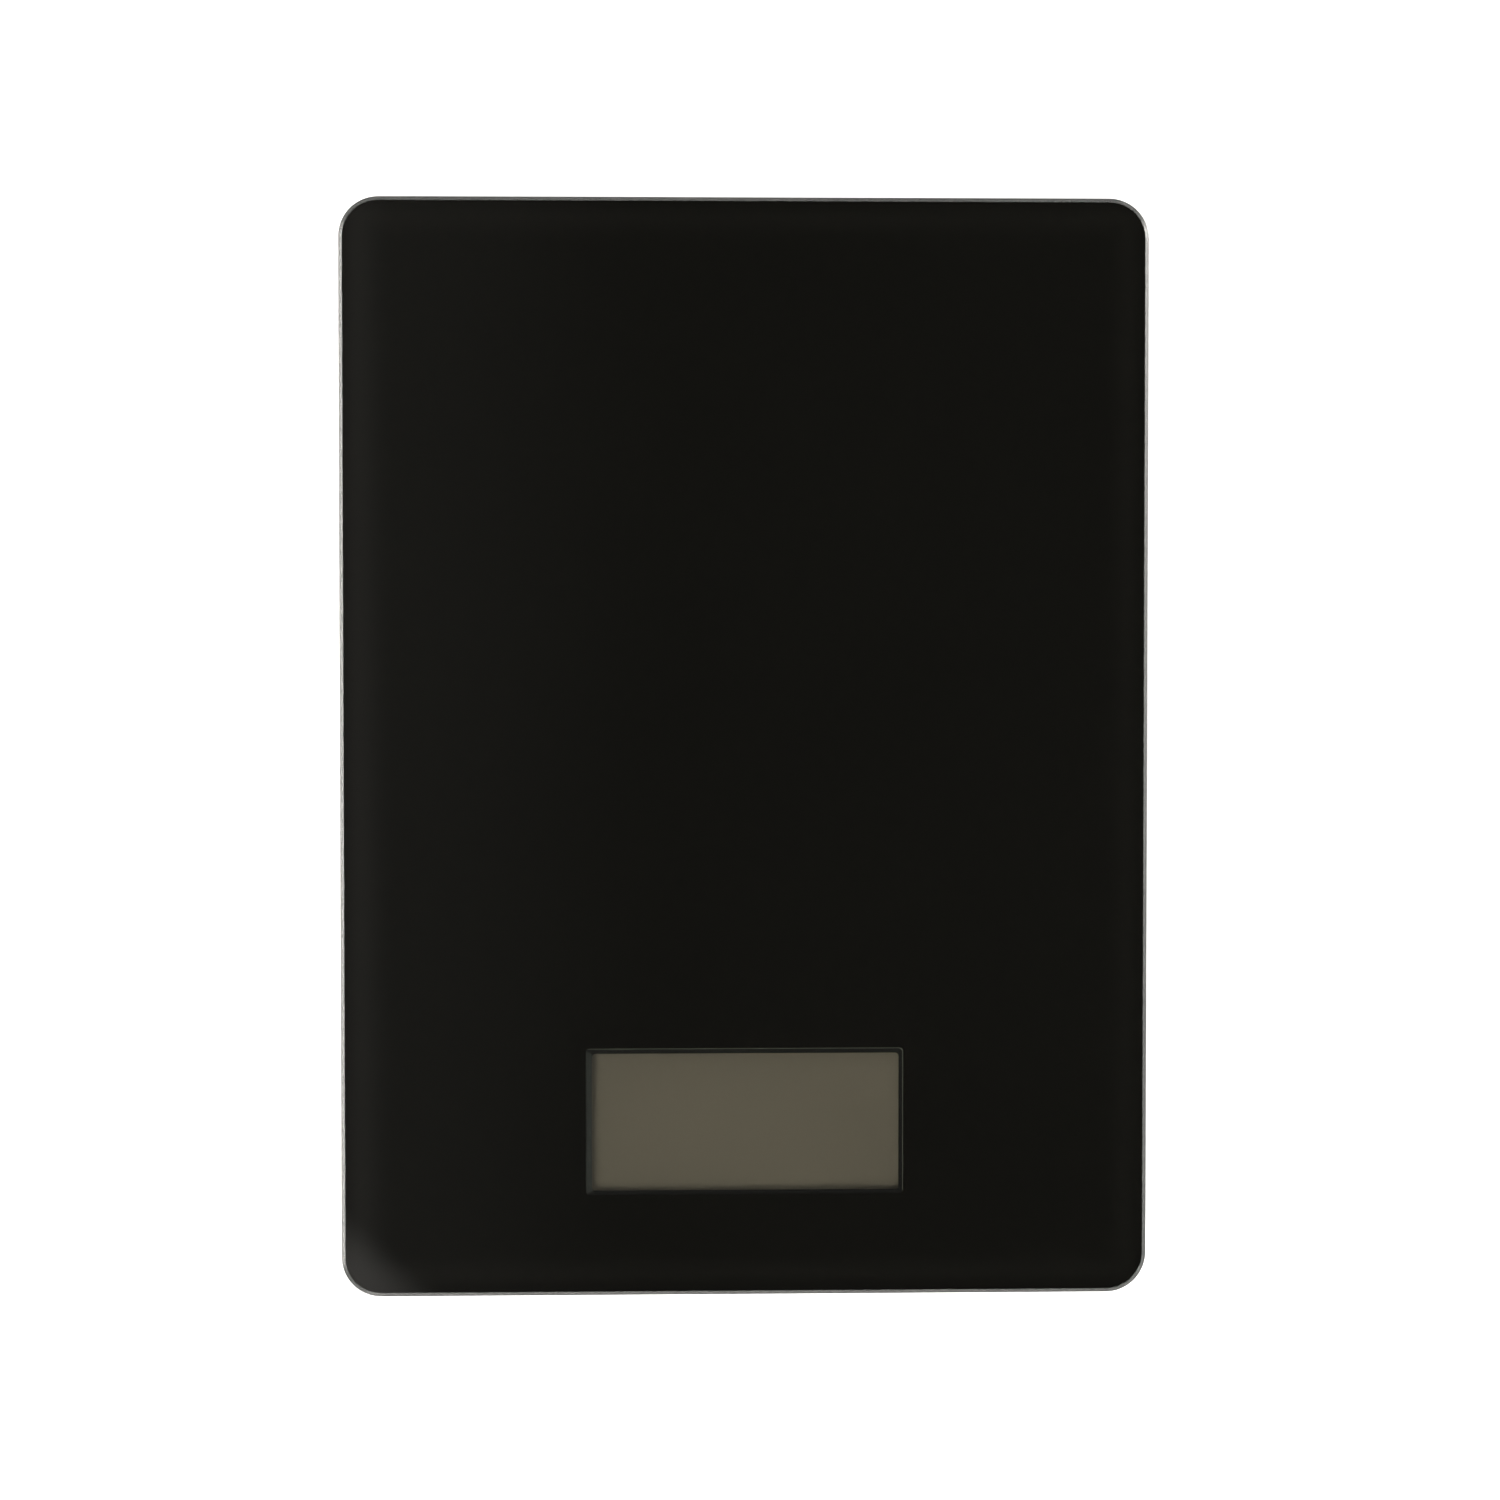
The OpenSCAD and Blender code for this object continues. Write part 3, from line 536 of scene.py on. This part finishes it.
cell_low, cell_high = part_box("coin_cell_can")
cell_can = turned("cell_can_steel", STEEL, (cell_low + cell_high) / 2)
dress(cell_can, "coin_cell_can", "coin_cell_cap")
dress(moulded("cell_gasket", (0.03, 0.03, 0.09), 0.5, 0.004, 0.35), "coin_cell_gasket")
dress(bronze, "battery_contact_positive", "battery_contact_negative")
dress(blank_label(), "rating_label")
dress(circuit_board(), "main_pcb")
dress(epoxy(), "cob_chip")
dress(small_parts(), "smd_parts")
dress(gauge_foil(), "strain_gauges")
dress(silicone(), "gauge_sealant")
dress(zebra_rubber(), "zebra_strips")


# ---------- New pieces ----------

def add_mesh(name, points, faces, looks, smooth=True, face_looks=None):
    """A mesh from places in millimetres."""
    data = bpy.data.meshes.new(name)
    data.from_pydata([Vector(p) * MM for p in points], [], faces)
    for look in looks:
        data.materials.append(look.material)
    for i, polygon in enumerate(data.polygons):
        polygon.use_smooth = smooth
        if face_looks:
            polygon.material_index = face_looks[i]
    data.validate()
    thing = bpy.data.objects.new(name, data)
    bpy.context.scene.collection.objects.link(thing)
    return thing


def lathe(profile, middle, sides):
    """Turns (radius, height) points about a vertical axis; a radius of 0 closes the shape."""
    points, rows, faces = [], [], []
    for radius, height in profile:
        if radius == 0:
            rows.append([len(points)] * sides)
            points.append((middle[0], middle[1], height))
            continue
        rows.append([len(points) + k for k in range(sides)])
        for k in range(sides):
            turn = math.tau * k / sides
            x, y = radius * math.cos(turn), radius * math.sin(turn)
            points.append((middle[0] + x, middle[1] + y, height))
    for a, b in zip(rows, rows[1:]):
        for k in range(sides):
            n = (k + 1) % sides
            faces.append(list(dict.fromkeys((a[k], b[k], b[n], a[n]))))
    return points, faces


def tube(path, radius, sides):
    """A round rod along a path, with flat ends."""
    points, faces = [], []
    last = len(path) - 1
    side = None
    for i, p in enumerate(path):
        ahead = (path[min(i + 1, last)] - path[max(i - 1, 0)]).normalized()
        if side is None:
            side = ahead.orthogonal().normalized()
        side = (side - ahead * side.dot(ahead)).normalized()
        other = ahead.cross(side)
        for k in range(sides):
            turn = math.tau * k / sides
            points.append(p + radius * (math.cos(turn) * side + math.sin(turn) * other))
    for i in range(last):
        for k in range(sides):
            n = (k + 1) % sides
            faces.append([i * sides + k, i * sides + n, (i + 1) * sides + n, (i + 1) * sides + k])
    faces.append(list(range(sides - 1, -1, -1)))
    faces.append([last * sides + k for k in range(sides)])
    return points, faces


def rounded(route, cut, steps):
    """Rounds each corner of a route, starting the bend a distance from the corner."""
    longest_share = 0.45    # of the straight that a bend may take at each of its ends
    path = [route[0]]
    for before, corner, after in zip(route, route[1:], route[2:]):
        reach_in = min(cut, (corner - before).length * longest_share)
        reach_out = min(cut, (after - corner).length * longest_share)
        start = corner + (before - corner).normalized() * reach_in
        end = corner + (after - corner).normalized() * reach_out
        for i in range(steps + 1):
            t = i / steps
            path.append(start * (1 - t) ** 2 + corner * 2 * t * (1 - t) + end * t ** 2)
    path.append(route[-1])
    return path


# Foot pads, turned with a ring groove and fine treads

def add_foot_pads():
    # Half the pad's outline from its axis, as radius and height in millimetres
    profile = [(0, 0.14), (0.8, 0.14), (1.0, 0.0), (4.2, 0.0)]
    profile += [(4.36, 0.05), (4.4, 0.16), (4.45, 0.5), (5.95, 0.5)]
    profile += [(6.0, 0.16), (6.04, 0.05), (6.2, 0.0)]
    treads, first_tread, tread_pitch, tread_depth = 3, 6.9, 0.8, 0.14
    for tread in range(treads):
        radius = first_tread + tread * tread_pitch
        profile += [(radius, 0.0), (radius + 0.08, tread_depth)]
        profile += [(radius + 0.32, tread_depth), (radius + 0.4, 0.0)]
    profile += [(9.25, 0.0), (9.5, 0.04), (9.72, 0.16), (9.88, 0.36)]
    profile += [(9.97, 0.58), (10, 0.8), (10, 1.8), (0, 1.8)]
    sides = 96
    for corner in CORNERS:
        low, high = (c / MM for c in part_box("foot_pad_" + corner))
        points, faces = lathe(profile, (low + high) / 2, sides)
        pad = add_mesh("tread_" + corner, points, faces, [tread_rubber])
        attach(pad, "foot_" + corner)
        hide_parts("foot_pad_" + corner)


# Coiled touch springs between the board and the glass

def add_touch_springs():
    low, high = (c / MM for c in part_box("touch_springs"))
    wire_radius = 0.3
    radius = 3.1
    turns = 6
    closed_turns = 0.8      # flat at each end
    per_turn = 28
    sides = 10
    half_width = 3.5        # of the spring's CAD tube
    points, faces = [], []
    for side in (-1, 1):
        middle_x = side * (high.x - half_width)
        middle_y = (low.y + high.y) / 2
        bottom, top_end = low.z + wire_radius, high.z - wire_radius
        path = []
        count = turns * per_turn
        for i in range(count + 1):
            share = i / count
            climb = (share * turns - closed_turns) / (turns - 2 * closed_turns)
            climb = min(max(climb, 0), 1)
            turn = math.tau * share * turns
            place = (middle_x + radius * math.cos(turn), middle_y + radius * math.sin(turn))
            path.append(Vector((*place, bottom + climb * (top_end - bottom))))
        more, more_faces = tube(path, wire_radius, sides)
        faces += [[len(points) + v for v in face] for face in more_faces]
        points += more
    springs = add_mesh("touch_coils", points, faces, [spring_wire])
    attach(springs, "scale_body")
    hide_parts("touch_springs")


# Wires, on the routes of the CAD wires, soldered to the board. Places in millimetres.

WIRE_RADIUS_MM = 0.4
WIRE_SIDES = 12
BEND_CUT_MM = 1.6
BEND_STEPS = 6
LANE_MM = 1.0           # between two wires side by side
FOOT_Y_MM = 87.0
CELL_WIRE_Z = 9.5
TRAY_WIRE_Z = 6.85
PAD_WIRE_Z = 8.8
BOARD_TOP_Z = 8.4
BOARD_BACK_Y = -46.0
# Half the outline of a solder joint from its axis: radius, and height over the board
SOLDER_BLOB = ((0, 0), (0.8, 0), (0.74, 0.15), (0.58, 0.45), (0.5, 0.75), (0.32, 0.92), (0, 0.98))
SOLDER_SIDES = 20


def rear_route(side, k):
    lane = 41 - k * LANE_MM
    rows = [(50, FOOT_Y_MM + k, CELL_WIRE_Z), (44.4, FOOT_Y_MM + k, CELL_WIRE_Z)]
    rows += [(lane + 1, FOOT_Y_MM + k - 0.5, TRAY_WIRE_Z + 1.4), (lane, FOOT_Y_MM + k - 3, TRAY_WIRE_Z)]
    rows += [(lane, 0, TRAY_WIRE_Z), (lane, BOARD_BACK_Y + 7, TRAY_WIRE_Z)]
    rows += [(lane, BOARD_BACK_Y + 2, PAD_WIRE_Z), (lane, BOARD_BACK_Y - 2, PAD_WIRE_Z)]
    return [Vector((side * x, y, z)) for x, y, z in rows]


def front_route(side, k):
    rows = [(50, k, CELL_WIRE_Z), (46, k, CELL_WIRE_Z), (43.5, k * 1.2, CELL_WIRE_Z + 0.3)]
    rows += [(41.5, k * 1.4, PAD_WIRE_Z), (39.5, k * 1.4, PAD_WIRE_Z)]
    return [Vector((side * x, y - FOOT_Y_MM, z)) for x, y, z in rows]


def battery_route(side):
    lane = 26
    rows = [(23.6, 20, 8.9), (25.6, 18.5, 8.4), (lane, 15, 7.35), (lane, 8, TRAY_WIRE_Z)]
    rows += [(lane, BOARD_BACK_Y + 7, TRAY_WIRE_Z), (lane, BOARD_BACK_Y + 2, PAD_WIRE_Z)]
    rows += [(lane, BOARD_BACK_Y - 2, PAD_WIRE_Z)]
    return [Vector((side * x, y, z)) for x, y, z in rows]


def add_wires(name, node, routes, look):
    points, faces, kinds = [], [], []
    blob = [(radius, BOARD_TOP_Z + height) for radius, height in SOLDER_BLOB]
    for route in routes:
        path = rounded(route, BEND_CUT_MM, BEND_STEPS)
        wire = tube(path, WIRE_RADIUS_MM, WIRE_SIDES)
        joint = lathe(blob, route[-1], SOLDER_SIDES)
        for (more, more_faces), kind in ((wire, 0), (joint, 1)):
            faces += [[len(points) + v for v in face] for face in more_faces]
            kinds += [kind] * len(more_faces)
            points += more
    wires = add_mesh(name, points, faces, [look, solder], face_looks=kinds)
    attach(wires, "scale_body")
    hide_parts(node)


solder = brushed("solder", (0.66, 0.66, 0.65), 0.22, (2, 2, 2))
# Each colour's place among the three wires of a cell, and its side of the coin cell, if any
WIRES = (("red", (0.42, 0.015, 0.012), -1, -1), ("black", (0.012, 0.012, 0.012), 0, 1),
         ("white", (0.68, 0.67, 0.62), 1, None))

add_foot_pads()
add_touch_springs()
for colour, paint, k, battery_side in WIRES:
    finish = "wire_" + colour
    look = insulation(finish, paint)
    routes = [route(side, k) for side in (-1, 1) for route in (rear_route, front_route)]
    add_wires("cell_leads_" + colour, "cell_wires_" + colour, routes, look)
    if battery_side:
        routes = [battery_route(battery_side)]
        add_wires("battery_lead_" + colour, "battery_wire_" + colour, routes, look)


# The gasket's soft inner lip, which shows under the glass as a black border round the display, with a
# painted highlight line along the top and right of the window and a grey painted shade along its left
# side

def rounded_outline(left, right, bottom, top_side, radius, height):
    """A rectangle with round corners, anticlockwise from its right side."""
    steps = 6
    points = []
    corners = ((right - radius, top_side - radius), (left + radius, top_side - radius))
    corners += ((left + radius, bottom + radius), (right - radius, bottom + radius))
    for quarter, (x, y) in enumerate(corners):
        for i in range(steps + 1):
            turn = math.radians(90 * (quarter + i / steps))
            points.append((x + radius * math.cos(turn), y + radius * math.sin(turn), height))
    return points


def add_gasket_lip():
    low, high = (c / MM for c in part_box("display_frame"))
    middle = (low + high) / 2
    below_tape, thickness, corner_radius = 0.05, 0.4, 0.8
    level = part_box("adhesive_tape")[1].z / MM - below_tape
    # Left, right, bottom and top of each ring, from the middle of the display
    outer = (-32.6, 32.6, -15.3, 15.3)
    # The band between the outer ring and the next is a painted highlight; it shows only along the top
    # and right of the window
    highlight_edge = (-32.2, 31.86, -14.95, 14.6)
    mouth = (-30.75, 31.1, -14.2, 13.7)
    painted_shade_faces = range(10, 17)    # the faces of a ring along its left side, which carry a grey painted shade in place of the display's shaded left edge
    under = level - thickness
    rings = [(outer, level), (highlight_edge, level), (mouth, level), (mouth, under), (outer, under)]
    points = []
    for sides, height in rings:
        points += rounded_outline(*sides, corner_radius, height)
    count = len(points) // len(rings)
    points = [(middle.x + x, middle.y + y, z) for x, y, z in points]
    faces, kinds = [], []
    for ring in range(len(rings)):
        a, b = ring * count, (ring + 1) % len(rings) * count
        for k in range(count):
            n = (k + 1) % count
            faces.append([a + k, a + n, b + n, b + k])
            kinds.append(0 if ring == 0 else 2 if ring == 1 and k in painted_shade_faces else 1)
    # Painted highlight on the outer band of the top, black rubber on the rest, and a grey painted shade
    # on the left faces
    colours = (("gasket_painted_highlight", (0.045, 0.045, 0.037)), ("gasket_lip", (0.0015, 0.0015, 0.0012)),
               ("gasket_painted_shade", (0.0115, 0.0122, 0.0112)))
    looks = [rubber(name, colour, 0.4, shine=0.02) for name, colour in colours]
    lip = add_mesh("window_gasket_lip", points, faces, looks, smooth=False, face_looks=kinds)
    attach(lip, "scale_body")


add_gasket_lip()


# ---------- Floor, world and lamps ----------

FLOOR_HALF_MM = 9000
FLOOR_GLOW = 0.62       # lifts the floor to the photo's plain white


def add_floor():
    """White table top. It can't be seen from below, and lamps under it reach the underside."""
    look = Look("floor_white", Roughness=0.9, Specular_IOR_Level=0.0)
    look.set("Base Color", look.blend(look.noise(0.004), rgb(0.84, 0.84, 0.84), rgb(0.87, 0.87, 0.87)))
    look.set("Emission Color", rgb(1, 1, 1))
    look.set("Emission Strength", FLOOR_GLOW)
    below = look.add("ShaderNodeNewGeometry").outputs["Backfacing"]
    look.clear_where(look.math("MAXIMUM", below, look.shadow_rays()))
    half = FLOOR_HALF_MM
    points = [(-half, -half, 0), (half, -half, 0), (half, half, 0), (-half, half, 0)]
    add_mesh("floor", points, [(0, 1, 2, 3)], [look], smooth=False)


# Sine of the height above the horizon, and how bright the studio is there, as a share of its brightest
STUDIO_BANDS = ((0.0, 0.38), (0.10, 0.34), (0.22, 0.16), (0.40, 0.12),
                (0.55, 0.40), (0.70, 1.0), (0.90, 1.0), (0.965, 0.0))
STUDIO_BRIGHT = 1.2
REAR_WALL_DIMMED = 0.75
OVERHEAD, OVERHEAD_LEFT, OVERHEAD_STRIP = 0.08, 0.085, 0.08
BOX_EDGE, BOX_HEART = 0.55, 17.0
LEFT_PANEL, RIGHT_PANEL, FRONT_PANEL = 40.0, 190.0, 45.0
BACKDROP = 1.15
STUDIO_TINT = rgb(1, 0.975, 0.93)


def add_world():
    """A white studio, dark straight overhead, with a large soft box in front and to the left."""
    world = bpy.data.worlds.new("studio")
    bpy.context.scene.world = world
    world.use_nodes = True
    tree = world.node_tree
    tree.nodes.clear()

    def add(kind, **settings):
        node = tree.nodes.new(kind)
        for name, value in settings.items():
            setattr(node, name, value)
        return node

    def calc(operation, a, b=0.0):
        node = add("ShaderNodeMath", operation=operation)
        for socket, value in zip(node.inputs, (a, b)):
            if isinstance(value, bpy.types.NodeSocket):
                tree.links.new(value, socket)
            else:
                socket.default_value = value
        return node.outputs[0]

    def times(first, *others):
        product = first
        for value in others:
            product = calc("MULTIPLY", product, value)
        return product

    def total(first, *others):
        result = first
        for value in others:
            result = calc("ADD", result, value)
        return result

    def rise(value, low, high):
        """0 below low, 1 above high, and smooth between them."""
        node = add("ShaderNodeMapRange", clamp=True, interpolation_type="SMOOTHSTEP")
        tree.links.new(value, node.inputs[0])
        node.inputs[1].default_value = low
        node.inputs[2].default_value = high
        return node.outputs[0]

    def fall(value, low, high):
        return calc("SUBTRACT", 1.0, rise(value, low, high))

    direction = add("ShaderNodeTexCoord").outputs["Generated"]
    split = add("ShaderNodeSeparateXYZ")
    tree.links.new(direction, split.inputs[0])
    x, y, z = split.outputs
    to_left, to_front = calc("MULTIPLY", x, -1.0), calc("MULTIPLY", y, -1.0)
    height = calc("MAXIMUM", z, 0.001)
    left, front = calc("DIVIDE", to_left, height), calc("DIVIDE", to_front, height)

    ramp = add("ShaderNodeValToRGB")
    ramp.color_ramp.interpolation = "EASE"
    stops = ramp.color_ramp.elements
    while len(stops) < len(STUDIO_BANDS):
        stops.new(0.5)
    for stop, (at, share) in zip(stops, STUDIO_BANDS):
        stop.position = at
        stop.color = (share, share, share, 1)
    tree.links.new(z, ramp.inputs[0])
    # The rear wall is darker near the horizon, so that the rear edge of the glass is too
    rear_wall = times(rise(y, 0.75, 0.92), fall(z, 0.30, 0.45), REAR_WALL_DIMMED)
    studio = times(ramp.outputs[0], STUDIO_BRIGHT, calc("SUBTRACT", 1.0, rear_wall))
    # Straight overhead, which the glass mirrors to the camera: dim, and brighter towards the left
    strip = times(rise(left, 0.038, 0.046), fall(left, 0.047, 0.052), OVERHEAD_STRIP)
    dim = total(times(rise(left, -0.03, 0.055), OVERHEAD_LEFT), OVERHEAD, strip)
    dim = times(dim, rise(z, 0.90, 0.965))
    # The soft box, whose near edge shows in the front left corner of the glass
    along = total(left, times(front, 1.1))
    across = calc("ABSOLUTE", calc("SUBTRACT", left, times(front, 0.9)))
    box = total(times(rise(along, 0.206, 0.222), BOX_EDGE), times(rise(along, 0.8, 1.4), BOX_HEART))
    box = times(box, fall(along, 2.3, 2.9), fall(across, 0.5, 0.7))
    # Low panels that light the edges of the glass: left, right towards the rear, front towards the left
    left_panel = times(rise(to_left, 0.90, 0.95), LEFT_PANEL)
    right_panel = times(rise(x, 0.90, 0.95), rise(y, 0.04, 0.12), RIGHT_PANEL)
    front_panel = times(rise(to_front, 0.90, 0.95), rise(to_left, 0.0, 0.10), FRONT_PANEL)
    low_band = times(rise(z, 0.0, 0.02), fall(z, 0.10, 0.14))
    panels = times(total(left_panel, right_panel, front_panel), low_band)
    studio = times(total(studio, dim, box, panels), calc("GREATER_THAN", z, 0.0))

    # The camera sees a plain white behind everything
    seen = add("ShaderNodeLightPath").outputs["Is Camera Ray"]
    strength = add("ShaderNodeMix", data_type="FLOAT")
    tree.links.new(seen, strength.inputs[0])
    tree.links.new(studio, strength.inputs[2])
    strength.inputs[3].default_value = BACKDROP
    back = add("ShaderNodeBackground")
    back.inputs["Color"].default_value = STUDIO_TINT
    tree.links.new(strength.outputs[0], back.inputs["Strength"])
    out = add("ShaderNodeOutputWorld")
    tree.links.new(back.outputs[0], out.inputs[0])


def area_lamp(name, at, size, watts):
    """A square lamp that faces the origin."""
    data = bpy.data.lights.new(name, "AREA")
    data.shape = "RECTANGLE"
    data.size, data.size_y = size, size
    data.energy = watts
    lamp = bpy.data.objects.new(name, data)
    lamp.location = at
    lamp.rotation_euler = (-Vector(at)).to_track_quat("-Z", "Y").to_euler()
    bpy.context.scene.collection.objects.link(lamp)


add_floor()
add_world()
# Lamps under the floor, which lets their light through to the underside
area_lamp("under_key", (-0.75, 0.35, -0.55), 0.5, 6)
area_lamp("under_fill", (0.5, -0.7, -0.7), 0.8, 2)
bpy.context.scene.view_settings.view_transform = "Standard"
